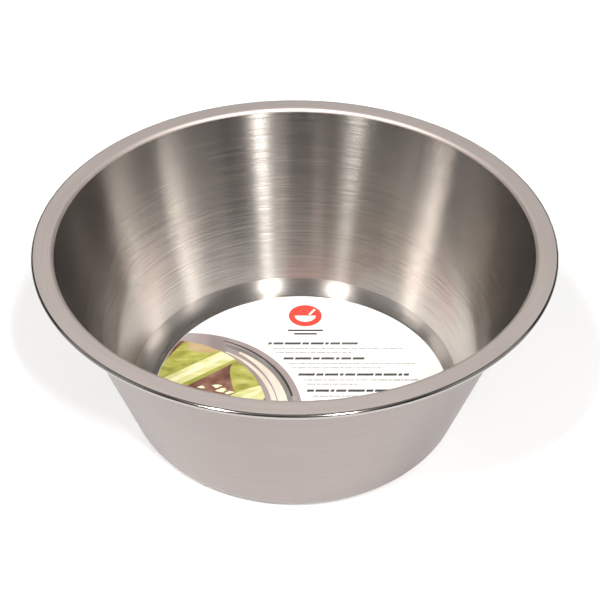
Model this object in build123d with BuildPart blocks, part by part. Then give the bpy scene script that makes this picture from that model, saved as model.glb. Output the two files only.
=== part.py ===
"""Conical stainless-steel mixing bowl with a removable round label on its floor.

Frame: millimetres, +Z up, origin at the centre of the underside, where the bowl stands.
The bowl is one pressed sheet, so its section is one line, the face that touches the food,
with the sheet's thickness laid behind it. The label is a printed paper disc on a film of
adhesive. Both lie flat on the floor, and where the label reaches past the flat they bend up
over the start of the rounded corner.
"""
import math
import os

from build123d import *

# Bowl
RIM_RADIUS = 140.0          # axis to the outermost point of the curled edge
HEIGHT = 113.0              # underside to the top of the rim
SHEET = 0.6                 # stainless sheet thickness
WALL_LEAN = 17.5            # degrees that the wall leans outwards from vertical
CORNER_RADIUS = 9.4         # inside radius between the floor and the wall
SHOULDER_RADIUS = 2.5       # top radius where the wall turns out into the flange
FLANGE_INNER_RADIUS = 130.8 # where the flat of the flange begins
CURL_RADIUS = 1.35          # outside radius of the edge curled under the flange
CURL_TURN = 240.0           # degrees that the edge is curled through

# Label
LABEL_RADIUS = 86.5
LABEL_OFFSET_X = 3.9        # the label was stuck on a little off the bowl's axis
LABEL_OFFSET_Y = -2.2
LABEL_BRIDGE = 0.6          # the stiff paper leaves the floor this far before the corner starts
PAPER_THICKNESS = 0.15
ADHESIVE_THICKNESS = 0.05

# Derived sizes
lean = math.radians(WALL_LEAN)
shoulder_run = SHOULDER_RADIUS * math.tan((math.pi / 2 - lean) / 2)
wall_top_radius = FLANGE_INNER_RADIUS - shoulder_run
wall_foot_radius = wall_top_radius - (HEIGHT - SHEET) * math.tan(lean)
curl_centre_radius = RIM_RADIUS - CURL_RADIUS
corner_turn = math.pi / 2 - lean
floor_radius = wall_foot_radius - CORNER_RADIUS * math.tan(corner_turn / 2)
label_bend_centre = (floor_radius - LABEL_BRIDGE, SHEET + CORNER_RADIUS)
label_bend_turn = 60        # degrees, enough for the label's furthest edge

os.makedirs("parts", exist_ok=True)


# ---------------------------------------------------------------- bowl shell
with BuildPart() as bowl_shell:
    with BuildSketch(Plane.XZ):
        with BuildLine():
            with BuildLine(mode=Mode.PRIVATE) as food_face:
                bends = Polyline(
                    (0, SHEET),
                    (wall_foot_radius, SHEET),
                    (wall_top_radius, HEIGHT),
                    (curl_centre_radius, HEIGHT),
                )
                corner_bend = bends.vertices().sort_by_distance((wall_foot_radius, SHEET))[0]
                fillet(corner_bend, CORNER_RADIUS)
                shoulder_bend = food_face.vertices().sort_by_distance((wall_top_radius, HEIGHT))[0]
                fillet(shoulder_bend, SHOULDER_RADIUS)
                CenterArc((curl_centre_radius, HEIGHT - CURL_RADIUS), CURL_RADIUS, 90, -CURL_TURN)
            offset(food_face.line, amount=SHEET, side=Side.RIGHT)
        make_face()
    revolve(axis=Axis.Z)
bowl_shell.part.label = "bowl_shell"


# ---------------------------------------------------------------- label
def label_layer(underside, thickness):
    """One layer of the label: flat `underside` above the floor, bent up just before the corner."""
    face_up = underside + thickness
    with BuildPart() as layer:
        with BuildSketch(Plane.XZ):
            with BuildLine():
                lower = CenterArc(label_bend_centre, CORNER_RADIUS - underside, -90, label_bend_turn)
                upper = CenterArc(label_bend_centre, CORNER_RADIUS - face_up, -90, label_bend_turn)
                Polyline(lower @ 0, (0, SHEET + underside), (0, SHEET + face_up), upper @ 0)
                Line(lower @ 1, upper @ 1)
            make_face()
        revolve(axis=Axis.Z)
        with BuildSketch(Plane.XY):
            with Locations((LABEL_OFFSET_X, LABEL_OFFSET_Y)):
                Circle(LABEL_RADIUS)
        extrude(amount=HEIGHT, mode=Mode.INTERSECT)
    return layer.part


adhesive = label_layer(0, ADHESIVE_THICKNESS)
adhesive.label = "label_adhesive"
paper = label_layer(ADHESIVE_THICKNESS, PAPER_THICKNESS)
paper.label = "label_paper"

export_step(bowl_shell.part, "parts/bowl_shell.step")
export_step(adhesive, "parts/label_adhesive.step")
export_step(paper, "parts/label_paper.step")
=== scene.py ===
"""Looks for the conical steel mixing bowl: spun and brushed steel, a printed paper label, a plain studio."""

import math

import bmesh
import bpy
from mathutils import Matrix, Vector


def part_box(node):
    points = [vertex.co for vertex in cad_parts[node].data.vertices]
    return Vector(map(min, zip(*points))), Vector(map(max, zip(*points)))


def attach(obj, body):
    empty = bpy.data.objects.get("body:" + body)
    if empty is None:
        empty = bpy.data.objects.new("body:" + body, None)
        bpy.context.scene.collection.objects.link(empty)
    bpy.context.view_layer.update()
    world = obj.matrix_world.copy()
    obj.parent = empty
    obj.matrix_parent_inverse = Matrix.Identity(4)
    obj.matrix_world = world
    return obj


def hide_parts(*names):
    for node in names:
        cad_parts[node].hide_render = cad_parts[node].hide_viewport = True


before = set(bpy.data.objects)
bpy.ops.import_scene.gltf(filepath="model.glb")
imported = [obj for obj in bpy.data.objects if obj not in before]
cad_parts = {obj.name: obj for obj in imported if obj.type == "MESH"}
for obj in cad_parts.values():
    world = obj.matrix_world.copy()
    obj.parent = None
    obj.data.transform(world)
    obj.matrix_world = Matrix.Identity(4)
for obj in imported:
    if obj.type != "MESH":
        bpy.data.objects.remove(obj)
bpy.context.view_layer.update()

MM = 0.001
TAU = 2 * math.pi

# ---------------------------------------------------------------- sizes, in metres
_, shell_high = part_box("bowl_shell")
RIM_RADIUS = shell_high.x
HEIGHT = shell_high.z
SHEET = 0.6 * MM                            # stainless sheet thickness
WALL_LEAN = math.radians(17.5)              # outwards from vertical
CORNER_RADIUS = 9.4 * MM                    # inside radius between floor and wall
SHOULDER_RADIUS = 2.5 * MM                  # where the wall turns out into the flange
FLANGE_INNER_RADIUS = RIM_RADIUS - 9.2 * MM
CURL_RADIUS = 1.35 * MM                     # edge curled under the flange
CURL_TURN = math.radians(240)

LABEL_CENTRE = Vector((3.9 * MM, -2.2 * MM))
LABEL_RADIUS = 86.5 * MM
LABEL_BRIDGE = 0.6 * MM                     # the paper leaves the floor this far before the corner
PAPER_UNDERSIDE = 0.05 * MM                 # above the floor, on the adhesive
PAPER_THICKNESS = 0.15 * MM
INK = 0.012 * MM                            # one level of printing

shoulder_run = SHOULDER_RADIUS * math.tan((math.pi / 2 - WALL_LEAN) / 2)
corner_run = CORNER_RADIUS * math.tan((math.pi / 2 - WALL_LEAN) / 2)
wall_top = FLANGE_INNER_RADIUS - shoulder_run     # radii where the straight lines would meet
wall_foot = wall_top - (HEIGHT - SHEET) * math.tan(WALL_LEAN)
floor_radius = wall_foot - corner_run
curl_centre = RIM_RADIUS - CURL_RADIUS


# ---------------------------------------------------------------- node helpers
RAMP_START = 0.3        # a noise's values lie mostly between 0.3 and 0.7
RAMP_LENGTH = 0.4


class Nodes:
    """Short names for building one material's nodes."""

    def __init__(self, name):
        self.material = bpy.data.materials.new(name)
        self.material.use_nodes = True
        self.tree = self.material.node_tree
        self.shader = self.tree.nodes["Principled BSDF"]

    def add(self, kind, **values):
        node = self.tree.nodes.new(kind)
        for key, value in values.items():
            setattr(node, key, value)
        return node

    def link(self, source, target):
        self.tree.links.new(source, target)

    def set(self, **values):
        for key, value in values.items():
            self.shader.inputs[key.replace("_", " ")].default_value = value

    def math(self, operation, first, second=0.0):
        """A math node; each operand is a number or another node's output."""
        node = self.add("ShaderNodeMath", operation=operation)
        for socket, value in zip(node.inputs, (first, second)):
            if isinstance(value, (int, float)):
                socket.default_value = value
            else:
                self.link(value, socket)
        return node.outputs[0]

    def position(self):
        return self.add("ShaderNodeTexCoord").outputs["Object"]

    def noise(self, vector, scale, detail=2.0, roughness=0.5):
        node = self.add("ShaderNodeTexNoise")
        node.inputs["Scale"].default_value = scale
        node.inputs["Detail"].default_value = detail
        node.inputs["Roughness"].default_value = roughness
        self.link(vector, node.inputs["Vector"])
        return node.outputs["Fac"]

    def blend(self, first, second, share):
        """`share` of the first value and the rest of the second."""
        scaled = self.math("MULTIPLY", first, share), self.math("MULTIPLY", second, 1 - share)
        return self.math("ADD", *scaled)

    def colours(self, value, *colours):
        """Base colour that runs evenly through the colours as the noise's value rises."""
        node = self.add("ShaderNodeValToRGB")
        elements = node.color_ramp.elements
        while len(elements) < len(colours):
            elements.new(0.5)
        for i, (element, colour) in enumerate(zip(elements, colours)):
            element.position = RAMP_START + RAMP_LENGTH * i / (len(colours) - 1)
            element.color = (*colour, 1.0)
        self.link(value, node.inputs["Fac"])
        self.link(node.outputs["Color"], self.shader.inputs["Base Color"])

    def roughness(self, value, low, high):
        """Roughness that goes from low to high as the noise's value goes from 0 to 1."""
        node = self.add("ShaderNodeMapRange")
        node.inputs["To Min"].default_value = low
        node.inputs["To Max"].default_value = high
        self.link(value, node.inputs["Value"])
        self.link(node.outputs["Result"], self.shader.inputs["Roughness"])

    def bump(self, height, strength, distance):
        node = self.add("ShaderNodeBump")
        node.inputs["Strength"].default_value = strength
        node.inputs["Distance"].default_value = distance
        self.link(height, node.inputs["Height"])
        self.link(node.outputs["Normal"], self.shader.inputs["Normal"])

    def grooves(self, value, slope):
        """Tilts the normal along the section only, as fine lines brushed round the axis do.

        The middle value of the noise leaves the normal as it is; `slope` is the tilt per unit of noise.
        """
        normal = self.add("ShaderNodeNewGeometry").outputs["Normal"]
        ring = self.add("ShaderNodeTangent", direction_type="RADIAL", axis="Z").outputs[0]
        across = self.add("ShaderNodeVectorMath", operation="CROSS_PRODUCT")
        self.link(normal, across.inputs[0])
        self.link(ring, across.inputs[1])
        tilt = self.add("ShaderNodeVectorMath", operation="SCALE")
        self.link(across.outputs[0], tilt.inputs[0])
        off_middle = self.math("SUBTRACT", value, 0.5)
        self.link(self.math("MULTIPLY", off_middle, slope), tilt.inputs["Scale"])
        total = self.add("ShaderNodeVectorMath", operation="ADD")
        self.link(normal, total.inputs[0])
        self.link(tilt.outputs[0], total.inputs[1])
        unit = self.add("ShaderNodeVectorMath", operation="NORMALIZE")
        self.link(total.outputs[0], unit.inputs[0])
        self.link(unit.outputs[0], self.shader.inputs["Normal"])
        self.link(ring, self.shader.inputs["Tangent"])

    def around_axis(self, per_turn, per_metre):
        """A vector that varies slowly round the bowl's axis and fast along the section."""
        split = self.add("ShaderNodeSeparateXYZ")
        self.link(self.position(), split.inputs[0])
        x, y, z = split.outputs
        squares = self.math("ADD", self.math("MULTIPLY", x, x), self.math("MULTIPLY", y, y))
        radius = self.math("MAXIMUM", self.math("SQRT", squares), MM)
        join = self.add("ShaderNodeCombineXYZ")
        along = self.math("MULTIPLY", self.math("ADD", radius, z), per_metre)
        self.link(self.math("MULTIPLY", self.math("DIVIDE", x, radius), per_turn), join.inputs[0])
        self.link(self.math("MULTIPLY", self.math("DIVIDE", y, radius), per_turn), join.inputs[1])
        self.link(along, join.inputs[2])
        return join.outputs[0]


# ---------------------------------------------------------------- steel
# Noise round the axis: cells across the bowl, then cells per metre along its section
HAIRLINES = (2.5, 17000.0)
STROKES = (5.0, 2600.0)
BANDS = (2.0, 420.0)
BLOTCHES_PER_METRE = 14.0

STROKES_IN_TONE = 0.6           # the rest is bands
WORKING_IN_COLOUR = 0.75        # the rest is blotches
HAIRLINES_IN_GROOVES = 0.9      # the rest is strokes
DARKEST = 0.9                   # of the zone's colour
LIGHTEST = 1.06
ALONG_THE_RINGS = 0.25          # turn of the anisotropy, as a part of a full turn


def steel(name, colour, roughness, spread, anisotropic, slope):
    """Stainless steel worked round the bowl's axis: fine rings, finite strokes and faint blotches."""
    n = Nodes(name)
    hairlines = n.noise(n.around_axis(*HAIRLINES), 1.0, detail=1.0)
    strokes = n.noise(n.around_axis(*STROKES), 1.0, detail=3.0, roughness=0.6)
    bands = n.noise(n.around_axis(*BANDS), 1.0)
    blotches = n.noise(n.position(), BLOTCHES_PER_METRE)
    tone = n.blend(strokes, bands, STROKES_IN_TONE)
    dark = tuple(c * DARKEST for c in colour)
    light = tuple(c * LIGHTEST for c in colour)
    n.colours(n.blend(tone, blotches, WORKING_IN_COLOUR), dark, light)
    n.roughness(tone, roughness - spread, roughness + spread)
    n.grooves(n.blend(hairlines, strokes, HAIRLINES_IN_GROOVES), slope)
    n.set(Metallic=1.0, Anisotropic=anisotropic, Anisotropic_Rotation=ALONG_THE_RINGS)
    return n.material


# Each zone's material: name, colour, roughness, its spread, anisotropy and slope of the grooves
STEEL = {
    "floor": steel("spun_floor_steel", (0.58, 0.55, 0.527), 0.26, 0.04, 0.9, 1.2),
    "wall": steel("brushed_wall_steel", (0.575, 0.545, 0.52), 0.21, 0.02, 1.0, 0.85),
    # The corner's colour is darker than the wall's: painted shade in the corner; its higher roughness is the
    # drawn finish
    "corner": steel("drawn_corner_steel_painted_shade", (0.5, 0.472, 0.452), 0.36, 0.03, 1.0, 1.5),
    # The rim's colour is set well above the wall's: painted sheen, a lighter copy of the same steel; its
    # high roughness is the satin finish
    "rim": steel("satin_rim_steel_painted_sheen", (0.86, 0.767, 0.731), 0.54, 0.03, 0.0, 0.2),
    # The curl's colour is darkened so the broad lights mirror on it as grey: painted dark reflection; its
    # low roughness is the polish
    "curl": steel("polished_curl_steel_painted_dark", (0.42, 0.394, 0.379), 0.12, 0.02, 0.2, 0.1),
    # The outside's colour is far darker than the inside's: painted shade, a darker copy of the same steel;
    # its roughness is the satin finish
    "outside": steel("satin_outside_steel_painted_shade", (0.325, 0.285, 0.275), 0.33, 0.03, 0.6, 0.6),
    "underside": steel("spun_base_steel", (0.58, 0.53, 0.505), 0.34, 0.05, 0.7, 0.8),
}
ZONES = list(STEEL)


# ---------------------------------------------------------------- bowl
BOWL_TURNS = 360
STRAIGHT_CUTS = 24
END_CUT = 0.003         # a cut this close to each bend keeps the straight part's shading flat
CORNER_CUTS = 18
SHOULDER_CUTS = 12
CURL_CUTS = 28
ON_AXIS = 1e-9
BOWL_CREASE = math.radians(50)      # edges bent by more than this stay sharp


def arc_points(centre, radius, start, turn, count):
    """Points and outward normals along an arc, both ends included."""
    found = []
    for i in range(count + 1):
        a = start + turn * i / count
        normal = Vector((math.cos(a), math.sin(a)))
        found.append((Vector(centre) + radius * normal, normal))
    return found


def line_points(start, end, normal, fractions):
    """Points at the given fractions of a line, each with the line's normal."""
    start, end = Vector(start), Vector(end)
    return [(start.lerp(end, f), Vector(normal)) for f in fractions]


def food_face():
    """(point, normal, zone) along the face that touches the food, from the axis to the end of the curl."""
    evenly = [END_CUT] + [i / STRAIGHT_CUTS for i in range(1, STRAIGHT_CUTS)] + [1 - END_CUT]
    lean = Vector((math.sin(WALL_LEAN), math.cos(WALL_LEAN)))
    corner_centre = (floor_radius, SHEET + CORNER_RADIUS)
    shoulder_centre = (FLANGE_INNER_RADIUS, HEIGHT - SHOULDER_RADIUS)
    bend = math.pi / 2 - WALL_LEAN
    corner = arc_points(corner_centre, CORNER_RADIUS, -math.pi / 2, bend, CORNER_CUTS)
    shoulder = arc_points(shoulder_centre, SHOULDER_RADIUS, math.pi - WALL_LEAN, -bend, SHOULDER_CUTS)
    curl = arc_points((curl_centre, HEIGHT - CURL_RADIUS), CURL_RADIUS, math.pi / 2, -CURL_TURN, CURL_CUTS)
    wall_start = Vector((wall_foot, SHEET)) + lean * corner_run
    wall_end = Vector((wall_top, HEIGHT)) - lean * shoulder_run
    sections = (
        ("floor", line_points((0, SHEET), (floor_radius, SHEET), (0, 1), [0.0] + evenly)),
        ("corner", [(p, -normal) for p, normal in corner]),
        ("wall", line_points(wall_start, wall_end, (-lean.y, lean.x), evenly)),
        ("rim", shoulder),
        ("rim", line_points((FLANGE_INNER_RADIUS, HEIGHT), (curl_centre, HEIGHT), (0, 1), evenly)),
        ("curl", curl),
    )
    return [(point, normal, zone) for zone, points in sections for point, normal in points]


def make_bowl():
    """One sheet, revolved: the food face, the sheet's cut edge and the back of the sheet."""
    face = food_face()
    section = [(p, zone) for p, _, zone in face]
    back_zones = {
        "floor": "underside",
        "corner": "outside",
        "wall": "outside",
        "rim": "outside",
        "curl": "curl",
    }
    for p, normal, zone in reversed(face):
        section.append((p - normal * SHEET, back_zones[zone]))
    mesh = bmesh.new()
    rings = []
    for p, zone in section:
        if p.x < ON_AXIS:
            rings.append([mesh.verts.new((0, 0, p.y))] * BOWL_TURNS)
            continue
        ring = []
        for i in range(BOWL_TURNS):
            a = TAU * i / BOWL_TURNS
            ring.append(mesh.verts.new((p.x * math.cos(a), p.x * math.sin(a), p.y)))
        rings.append(ring)
    for k in range(len(rings) - 1):
        inner, outer = rings[k], rings[k + 1]
        zone = ZONES.index(section[k + 1][1])
        for i in range(BOWL_TURNS):
            j = (i + 1) % BOWL_TURNS
            corners = []
            for vertex in (inner[i], outer[i], outer[j], inner[j]):
                if vertex not in corners:
                    corners.append(vertex)
            made = mesh.faces.new(corners)
            made.material_index = zone
            made.smooth = True
    piece = finish_mesh("bowl_body", mesh)
    for zone in ZONES:
        piece.data.materials.append(STEEL[zone])
    piece.data.set_sharp_from_angle(angle=BOWL_CREASE)
    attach(piece, "bowl")
    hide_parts("bowl_shell")


def finish_mesh(name, mesh):
    """A bmesh as a named object, with its faces turned outwards."""
    bmesh.ops.recalc_face_normals(mesh, faces=mesh.faces)
    data = bpy.data.meshes.new(name)
    mesh.to_mesh(data)
    mesh.free()
    piece = bpy.data.objects.new(name, data)
    bpy.context.scene.collection.objects.link(piece)
    return piece


# ---------------------------------------------------------------- label paper
LABEL_TURNS = 300
LABEL_PARTS = 24
NEAR_LABEL_EDGE = (8, 6, 4.5, 3.2, 2.1, 1.2, 0.5, 0)    # mm; closer rings where the paper bends up
PAPER_CREASE = math.radians(40)


def paper_height(x, y, lift):
    """Height of a layer `lift` above the floor: flat, then bent up just before the corner."""
    reach = math.hypot(x, y) - (floor_radius - LABEL_BRIDGE)
    radius = CORNER_RADIUS - lift
    if reach <= 0:
        return SHEET + lift
    return SHEET + CORNER_RADIUS - math.sqrt(radius * radius - reach * reach)


def paper_material():
    n = Nodes("coated_label_paper")
    fibres = n.noise(n.position(), 900.0, detail=3.0)
    waves = n.noise(n.position(), 30.0)
    n.colours(fibres, (0.85, 0.855, 0.85), (0.88, 0.885, 0.88))
    n.roughness(waves, 0.38, 0.5)
    n.bump(waves, strength=0.15, distance=0.3 * MM)
    n.set(Coat_Weight=0.15, Coat_Roughness=0.25)
    return n.material


def make_label():
    """The paper disc, with its cut edge, as one closed mesh."""
    radii = [LABEL_RADIUS * i / LABEL_PARTS for i in range(1, LABEL_PARTS - 2)]
    radii += [LABEL_RADIUS - step * MM for step in NEAR_LABEL_EDGE]
    mesh = bmesh.new()
    layers = []
    for lift in (PAPER_UNDERSIDE, PAPER_UNDERSIDE + PAPER_THICKNESS):
        centre = mesh.verts.new((*LABEL_CENTRE, SHEET + lift))
        rings = []
        for radius in radii:
            ring = []
            for i in range(LABEL_TURNS):
                x = LABEL_CENTRE.x + radius * math.cos(TAU * i / LABEL_TURNS)
                y = LABEL_CENTRE.y + radius * math.sin(TAU * i / LABEL_TURNS)
                ring.append(mesh.verts.new((x, y, paper_height(x, y, lift))))
            rings.append(ring)
        layers.append(rings)
        for i in range(LABEL_TURNS):
            j = (i + 1) % LABEL_TURNS
            mesh.faces.new((centre, rings[0][i], rings[0][j]))
            for inner, outer in zip(rings, rings[1:]):
                mesh.faces.new((inner[i], outer[i], outer[j], inner[j]))
    lower_edge, upper_edge = layers[0][-1], layers[1][-1]
    for i in range(LABEL_TURNS):
        j = (i + 1) % LABEL_TURNS
        mesh.faces.new((lower_edge[i], lower_edge[j], upper_edge[j], upper_edge[i]))
    for made in mesh.faces:
        made.smooth = True
    piece = finish_mesh("label_sheet", mesh)
    piece.data.set_sharp_from_angle(angle=PAPER_CREASE)
    piece.data.materials.append(paper_material())
    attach(piece, "label")
    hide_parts("label_paper")


# ---------------------------------------------------------------- printing
# Outlines are in millimetres from the label's centre. Printing that overlaps has its own level.
LABEL_WINDOW_RADIUS = 86.3      # the printing stops just inside the paper's edge
INK_ROUGHNESS = (0.4, 0.5)

# Dashes in place of words, in heights of their line
DASH_SHORTEST = 1.1
DASH_STEP = 0.95
DASH_LENGTHS = 5
DASH_SHUFFLE = 7                # shares no factor with the number of lengths, so all of them come up
DASH_GAP = 0.5

# A strip's width follows this part of a half wave: thin at its start, widest past its middle
SWELL_START = 0.08
SWELL_LENGTH = 0.62

CRUMB_CUTS = 14
CRUMB_UNEVENNESS = 0.45         # of its size
CRUMB_FLATNESS = 0.6


def circle(x, y, radius, count=160):
    """A circle as a polygon of `count` points."""
    turn = TAU / count
    return [(x + radius * math.cos(turn * i), y + radius * math.sin(turn * i)) for i in range(count)]


def clip(points, window):
    """The part of a polygon inside a convex, anticlockwise window."""
    for i in range(len(window)):
        a, b = window[i], window[(i + 1) % len(window)]
        side = [(b[0] - a[0]) * (p[1] - a[1]) - (b[1] - a[1]) * (p[0] - a[0]) for p in points]
        kept = []
        for k in range(len(points)):
            p, q, here, there = points[k - 1], points[k], side[k - 1], side[k]
            if (here >= 0) != (there >= 0):
                t = here / (here - there)
                kept.append((p[0] + t * (q[0] - p[0]), p[1] + t * (q[1] - p[1])))
            if there >= 0:
                kept.append(q)
        points = kept
        if not points:
            return []
    return points


def smooth(points, rounds=3):
    """Rounds a closed outline by cutting its corners at a quarter of each side."""
    for _ in range(rounds):
        cut = []
        for k in range(len(points)):
            p, q = points[k], points[(k + 1) % len(points)]
            cut.append((0.75 * p[0] + 0.25 * q[0], 0.75 * p[1] + 0.25 * q[1]))
            cut.append((0.25 * p[0] + 0.75 * q[0], 0.25 * p[1] + 0.75 * q[1]))
        points = cut
    return points


def print_ink(name, shapes, level, material):
    """Closed slips of ink, `level` layers up on the flat of the label."""
    mesh = bmesh.new()
    low = SHEET + PAPER_UNDERSIDE + PAPER_THICKNESS
    for shape in shapes:
        if len(shape) < 3:
            continue
        outline = [(LABEL_CENTRE.x + x * MM, LABEL_CENTRE.y + y * MM) for x, y in shape]
        top = [mesh.verts.new((x, y, low + level * INK)) for x, y in outline]
        bottom = [mesh.verts.new((x, y, low)) for x, y in outline]
        mesh.faces.new(top)
        mesh.faces.new(bottom[::-1])
        for k in range(len(top)):
            j = (k + 1) % len(top)
            mesh.faces.new((top[k], bottom[k], bottom[j], top[j]))
    piece = finish_mesh(name, mesh)
    piece.data.materials.append(material)
    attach(piece, "label")


def ink(name, colours, scale, stretch=(1, 1, 1), turn=0.0):
    """Printed colour that varies between the given colours along a stretched, turned noise."""
    n = Nodes(name)
    mapping = n.add("ShaderNodeMapping")
    mapping.inputs["Rotation"].default_value = (0, 0, math.radians(turn))
    mapping.inputs["Scale"].default_value = stretch
    n.link(n.position(), mapping.inputs["Vector"])
    value = n.noise(mapping.outputs[0], scale, detail=3.0)
    n.colours(value, *colours)
    n.roughness(value, *INK_ROUGHNESS)
    return n.material


def slanted_bar(x, y, width, height, slant=0.3):
    """A bar from its lower left corner; `slant` is how far it leans for each unit of height."""
    lean = slant * height
    return [(x, y), (x + width, y), (x + width + lean, y + height), (x + lean, y + height)]


def line_of_dashes(x, y, width, height, seed):
    """A line of plain dashes in the rhythm of words, with no letters."""
    bars = []
    place = x
    k = seed
    while place < x + width - height:
        length = height * (DASH_SHORTEST + DASH_STEP * ((k * DASH_SHUFFLE) % DASH_LENGTHS))
        length = min(length, x + width - place)
        bars.append(slanted_bar(place, y, length, height))
        place += length + DASH_GAP * height
        k += 1
    return bars


LABEL_WINDOW = circle(0, 0, LABEL_WINDOW_RADIUS, count=200)


def arc_strip(cx, cy, radius, start, end, widest):
    """A strip along an arc of the printed steel, pointed at its upper end; angles in degrees."""
    cuts = 40
    outer, inner = [], []
    for i in range(cuts + 1):
        t = i / cuts
        a = math.radians(start + (end - start) * t)
        half = 0.5 * widest * math.sin(math.pi * (SWELL_START + SWELL_LENGTH * t))
        outer.append((cx + (radius + half) * math.cos(a), cy + (radius + half) * math.sin(a)))
        inner.append((cx + (radius - half) * math.cos(a), cy + (radius - half) * math.sin(a)))
    return clip(outer + inner[::-1], LABEL_WINDOW)


def crumb(x, y, size):
    """A small uneven bit with three blunt corners."""
    outline = []
    for i in range(CRUMB_CUTS):
        a = TAU * i / CRUMB_CUTS
        reach = size * (1 + CRUMB_UNEVENNESS * math.sin(3 * a + x))
        outline.append((x + reach * math.cos(a), y + CRUMB_FLATNESS * size * math.sin(a)))
    return outline


def print_picture():
    """Lower left: cut leeks and leaves in a steel bowl, in flat printed colours."""
    steel_arc = circle(-70, -20, 70.5)
    inside = circle(-84.5, -20.5, 64.5)

    def inside_only(points):
        return clip(clip(clip(points, LABEL_WINDOW), inside), steel_arc)

    steel_colours = [(0.22, 0.18, 0.18), (0.42, 0.36, 0.36)]
    steel_ink = ink("print_steel", steel_colours, 30, (1, 0.3, 1), 30)
    print_ink("print_bowl_arc", [clip(steel_arc, LABEL_WINDOW)], 1, steel_ink)

    brown_colours = [(0.07, 0.03, 0.02), (0.19, 0.08, 0.055), (0.33, 0.19, 0.15)]
    brown = ink("print_brown_leaves", brown_colours, 70)
    print_ink("print_bowl_inside", [clip(clip(inside, LABEL_WINDOW), steel_arc)], 2, brown)

    olive_colours = [(0.2, 0.19, 0.03), (0.36, 0.37, 0.07), (0.52, 0.5, 0.16)]
    olive = ink("print_olive_leaves", olive_colours, 90, (1, 2.2, 1), -20)
    leaves = [
        [(-90, 2), (-84, 24), (-60, 60), (-38, 42), (-38, 26), (-60, 18)],
        [(-44, 20), (-36, 26), (-26, 8), (-20, -14), (-34, -16), (-40, -2)],
        [(-90, -32), (-60, -22), (-40, -40), (-62, -52), (-90, -60)],
    ]
    print_ink("print_leaves", [inside_only(smooth(leaf)) for leaf in leaves], 3, olive)

    tan_colours = [(0.3, 0.22, 0.06), (0.45, 0.33, 0.16), (0.5, 0.38, 0.2)]
    tan = ink("print_tan_leaf", tan_colours, 60, (1, 2, 1), 10)
    tan_leaf = [(-72, 34), (-66, 52), (-46, 46), (-40, 35), (-54, 31)]
    print_ink("print_tan", [inside_only(smooth(tan_leaf))], 4, tan)

    pale_colours = [(0.5, 0.52, 0.16), (0.68, 0.67, 0.34), (0.84, 0.8, 0.62)]
    pale = ink("print_pale_stalk", pale_colours, 42, (0.5, 3.2, 1), -33)
    stalks = [
        [(-90, 8.5), (-84, 9.5), (-43.5, 37.5), (-37.5, 36), (-35.5, 29), (-58, 13), (-76, 0), (-90, -8)],
        [(-52, -16), (-44, -6), (-22, 4.5), (-19, 0), (-20, -8), (-38, -20)],
        [(-90, -36), (-70, -34), (-38, -56), (-44, -66), (-90, -50)],
    ]
    print_ink("print_stalks", [inside_only(smooth(stalk, 2)) for stalk in stalks], 5, pale)

    sheen = ink("print_stalk_sheen", [(0.72, 0.70, 0.36), (0.90, 0.88, 0.68)], 60, (0.4, 3.0, 1), -33)
    sheens = [
        [(-90, 1.5), (-80, 7), (-52, 27), (-43, 32), (-46, 27.5), (-60, 18), (-78, 4), (-90, -3)],
        [(-46, -13), (-36, -7), (-23, 0), (-24, -3), (-36, -11)],
        [(-88, -41), (-72, -39), (-46, -56), (-50, -59), (-74, -46), (-88, -46)],
    ]
    print_ink("print_stalk_sheens", [inside_only(smooth(line, 2)) for line in sheens], 6, sheen)

    shade = ink("print_stalk_shade", [(0.24, 0.26, 0.03), (0.42, 0.42, 0.1)], 60, (0.4, 3.0, 1), -33)
    shades = [
        [(-90, -7), (-76, 0.5), (-58, 13.5), (-36, 29), (-35, 27.5), (-57, 10.5), (-75, -2.5), (-90, -10)],
        [(-90, 9), (-84, 10.5), (-44, 38.5), (-43.5, 37), (-83, 8.8), (-90, 6.5)],
    ]
    print_ink("print_stalk_shades", [inside_only(line) for line in shades], 7, shade)

    cream = ink("print_cream_bits", [(0.72, 0.68, 0.4), (0.86, 0.84, 0.64)], 200)
    crumbs = [
        crumb(-59, 1.5, 2.0),
        crumb(-50, 2.2, 2.4),
        crumb(-46.5, -1.2, 3.2),
        crumb(-43, -3.2, 2.6),
        crumb(-64, -8, 3),
        crumb(-55, -14, 2.6),
    ]
    print_ink("print_bits", [inside_only(outline) for outline in crumbs], 8, cream)

    grey = ink("print_steel_shade", [(0.13, 0.125, 0.12), (0.24, 0.23, 0.22)], 40)
    glow = ink("print_steel_glow", [(0.62, 0.54, 0.45), (0.82, 0.76, 0.67)], 40, (1, 0.4, 1), 30)
    edge = ink("print_steel_line", [(0.02, 0.016, 0.014), (0.04, 0.03, 0.03)], 40)
    glows = [arc_strip(-75, -21, 65.0, 55, -20, 5.6), arc_strip(-77, -21, 62.0, 60, -12, 3.0)]
    print_ink("print_arc_shade", [arc_strip(-73, -21, 65.8, 66, -62, 7.0)], 9, grey)
    print_ink("print_arc_glow", glows, 10, glow)
    print_ink("print_arc_line", [arc_strip(-72, -20.5, 68.0, 69, 12, 1.5)], 11, edge)


HEADING_HEIGHT = 2.0
SMALL_HEIGHT = 1.1
SMALL_LINES = ((3.4, -4.3), (5.0, -8.0))    # where the two small lines start, from their heading
SIGN_XS = [-2 + 17 * k for k in range(4)]
SIGN_Y = -56
SIGN_RADIUS = 6.2
SIGN_FIELD_RADIUS = 5.5         # the white inside the ring


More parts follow.
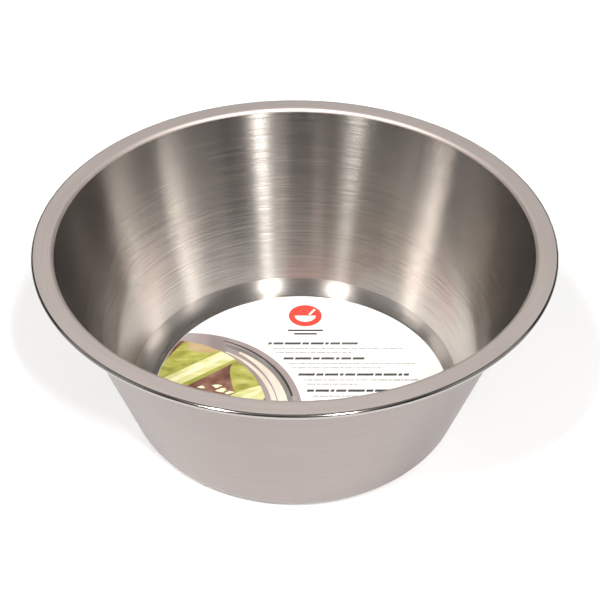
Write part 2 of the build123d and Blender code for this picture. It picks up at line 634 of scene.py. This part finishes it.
def print_words():
    """Six blocks of plain dashes where such a label has its text, and a row of four plain signs."""
    heading = ink("print_dark_grey", [(0.035, 0.035, 0.04), (0.07, 0.07, 0.075)], 300)
    small = ink("print_light_grey", [(0.36, 0.35, 0.35), (0.5, 0.49, 0.49)], 300)
    heads, fine = [], []
    # Each block's place, then the widths of its heading and of its two small lines
    blocks = (
        (-20.5, 39.6, 58, 80, 46),
        (-11.0, 25.8, 49, 76, 54),
        (-2.0, 11.4, 66, 68, 30),
        (3.0, -2.6, 62, 64, 48),
        (6.0, -17.0, 56, 60, 40),
        (6.0, -31.5, 50, 52, 34),
    )
    (first_in, first_down), (second_in, second_down) = SMALL_LINES
    for k, (x, y, head_width, first, second) in enumerate(blocks):
        heads += line_of_dashes(x, y, head_width, HEADING_HEIGHT, k)
        fine += line_of_dashes(x + first_in, y + first_down, first, SMALL_HEIGHT, k + 3)
        fine += line_of_dashes(x + second_in, y + second_down, second, SMALL_HEIGHT, k + 5)
    print_ink("print_headings", heads, 1, heading)
    print_ink("print_small_lines", fine, 1, small)

    white = ink("print_sign_white", [(0.86, 0.86, 0.84), (0.9, 0.9, 0.88)], 300)
    bowls = []
    for x in SIGN_XS:
        top, bottom = SIGN_Y + 1, SIGN_Y - 2.4
        bowls.append([(x - 3.2, top), (x + 3.2, top), (x + 2.0, bottom), (x - 2.0, bottom)])
        bowls.append(slanted_bar(x - 3.6, SIGN_Y + 1.6, 7.2, 0.6, slant=0))
    discs = [circle(x, SIGN_Y, SIGN_RADIUS, count=64) for x in SIGN_XS]
    fields = [circle(x, SIGN_Y, SIGN_FIELD_RADIUS, count=64) for x in SIGN_XS]
    print_ink("print_sign_discs", discs, 1, heading)
    print_ink("print_sign_fields", fields, 2, white)
    print_ink("print_sign_marks", bowls, 3, heading)


EMBLEM_X = 2.7
EMBLEM_Y = 67.2
EMBLEM_RADIUS = 10.4
EMBLEM_BOWL_REACH = 6.6
EMBLEM_BOWL_DEPTH = 6.0
EMBLEM_BOWL_CUTS = 24


def print_emblem():
    """A made-up sign: a white bowl and spoon on a plain red disc, over two plain black lines."""
    red = ink("print_red", [(0.68, 0.035, 0.02), (0.78, 0.05, 0.03)], 120)
    white = ink("print_emblem_white", [(0.86, 0.86, 0.84), (0.9, 0.9, 0.88)], 300)
    black = ink("print_black", [(0.012, 0.011, 0.011), (0.022, 0.02, 0.02)], 300)
    print_ink("print_emblem_field", [circle(EMBLEM_X, EMBLEM_Y, EMBLEM_RADIUS)], 1, red)
    bowl = []
    for i in range(EMBLEM_BOWL_CUTS + 1):
        a = math.pi + math.pi * i / EMBLEM_BOWL_CUTS
        x = EMBLEM_X + EMBLEM_BOWL_REACH * math.cos(a)
        bowl.append((x, EMBLEM_Y + EMBLEM_BOWL_DEPTH * math.sin(a)))
    spoon = [(4.6, 68.4), (6.0, 68.0), (9.4, 73.0), (8.2, 73.8)]
    print_ink("print_emblem_bowl", [bowl, spoon], 2, white)
    lines = [slanted_bar(-8.3, 52.2, 22, 1.5, slant=0), slanted_bar(-4.3, 48.9, 14, 1.5, slant=0)]
    print_ink("print_emblem_lines", lines, 1, black)


# ---------------------------------------------------------------- adhesive
def adhesive_material():
    n = Nodes("clear_adhesive_film")
    smear = n.noise(n.position(), 160.0, detail=3.0)
    n.colours(smear, (0.74, 0.72, 0.62), (0.82, 0.8, 0.72))
    n.roughness(smear, 0.25, 0.4)
    n.bump(smear, strength=0.2, distance=0.05 * MM)
    return n.material


def dress_adhesive():
    """The film is a plain thin disc, so its CAD solid is shown, with a material of its own."""
    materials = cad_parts["label_adhesive"].data.materials
    materials.clear()
    materials.append(adhesive_material())


# ---------------------------------------------------------------- studio
LENS_MM = 76.9
SENSOR_MM = 36.0
CAMERA_SHIFT = 0.0087
CAMERA_AWAY = 3.963 * RIM_RADIUS        # in front of the bowl's axis
CAMERA_UP = 3.714 * RIM_RADIUS
CAMERA_DOWN = 39.25                     # degrees that it looks down from level

LIGHT_TARGET = Vector((0, 0, 0.08))
WARM = (1.0, 0.965, 0.92)
NEUTRAL = (1, 1, 1)
WORLD_COLOUR = (0.05, 0.0495, 0.049, 1)
FLOOR_HALF = 4.0
FAR_LIGHT_PLACE = (0, 1.1, 1.0)         # over the floor behind the bowl
FAR_LIGHT_SPREAD = math.radians(60)


def make_camera():
    """The photo's view, fitted to the outlines of the rim, the wall and the label."""
    data = bpy.data.cameras.new("camera")
    data.sensor_width = SENSOR_MM
    data.lens = LENS_MM
    data.shift_x = CAMERA_SHIFT
    data.clip_start = 0.01
    camera = bpy.data.objects.new("camera", data)
    camera.location = (0, -CAMERA_AWAY, CAMERA_UP)
    camera.rotation_euler = (math.radians(90 - CAMERA_DOWN), 0, 0)
    bpy.context.scene.collection.objects.link(camera)
    bpy.context.scene.camera = camera


def area_light(name, width, height, power):
    """A rectangular light that the camera doesn't see, placed by its caller."""
    data = bpy.data.lights.new(name, "AREA")
    data.shape = "RECTANGLE"
    data.size = width
    data.size_y = height
    data.energy = power
    light = bpy.data.objects.new(name, data)
    light.visible_camera = False
    bpy.context.scene.collection.objects.link(light)
    return light


def soft_light(name, azimuth, elevation, distance, width, height, power, colour=NEUTRAL):
    """A soft box round the bowl; azimuth 0 is in front of it and positive is to the right."""
    a, e = math.radians(azimuth), math.radians(elevation)
    away = Vector((math.sin(a) * math.cos(e), -math.cos(a) * math.cos(e), math.sin(e)))
    light = area_light(name, width, height, power)
    light.data.color = colour
    light.location = LIGHT_TARGET + away * distance
    light.rotation_mode = "QUATERNION"
    light.rotation_quaternion = (-away).to_track_quat("-Z", "Y")


def far_light():
    """A downward beam that keeps the floor behind the bowl white and doesn't reach the bowl."""
    light = area_light("far_floor", width=2.4, height=0.5, power=20.0)
    light.data.spread = FAR_LIGHT_SPREAD
    light.location = FAR_LIGHT_PLACE


def make_studio():
    """Two narrow keys for the wall's streaks, broad panels for the rest of the steel, and a dim world."""
    # Name, azimuth, elevation, distance, width, height, watts
    soft_light("key_right", 21, 50, 1.8, 0.11, 0.48, 27.0, WARM)
    soft_light("key_left", -39, 55, 2.2, 0.10, 0.52, 32.0, WARM)
    soft_light("backdrop", 180, 41, 2.1, 2.4, 0.9, 4.6)
    soft_light("side_right", 84, 36, 2.1, 1.5, 0.8, 3.6)
    soft_light("side_left", -84, 36, 2.1, 1.5, 0.8, 3.4)
    soft_light("front_fill", -9, 28, 2.6, 2.2, 1.0, 0.4)
    soft_light("ceiling", 180, 85, 2.2, 2.2, 2.2, 4.0)
    far_light()
    world = bpy.data.worlds.new("studio")
    world.use_nodes = True
    world.node_tree.nodes["Background"].inputs["Color"].default_value = WORLD_COLOUR
    bpy.context.scene.world = world


def make_floor():
    """A pale floor, a little bluish and self-lit, so that it looks white beside warm light."""
    mesh = bmesh.new()
    bmesh.ops.create_grid(mesh, x_segments=8, y_segments=8, size=FLOOR_HALF)
    floor = finish_mesh("floor", mesh)
    n = Nodes("pale_floor")
    cloud = n.noise(n.position(), 3.0)
    n.colours(cloud, (0.85, 0.865, 0.885), (0.87, 0.885, 0.905))
    n.set(Roughness=0.7, Specular_IOR_Level=0.2, Emission_Color=(1, 1, 1, 1), Emission_Strength=0.23)
    floor.data.materials.append(n.material)


make_camera()
make_floor()
make_studio()
make_bowl()
make_label()
print_picture()
print_words()
print_emblem()
dress_adhesive()

bpy.context.scene.view_settings.view_transform = "Standard"
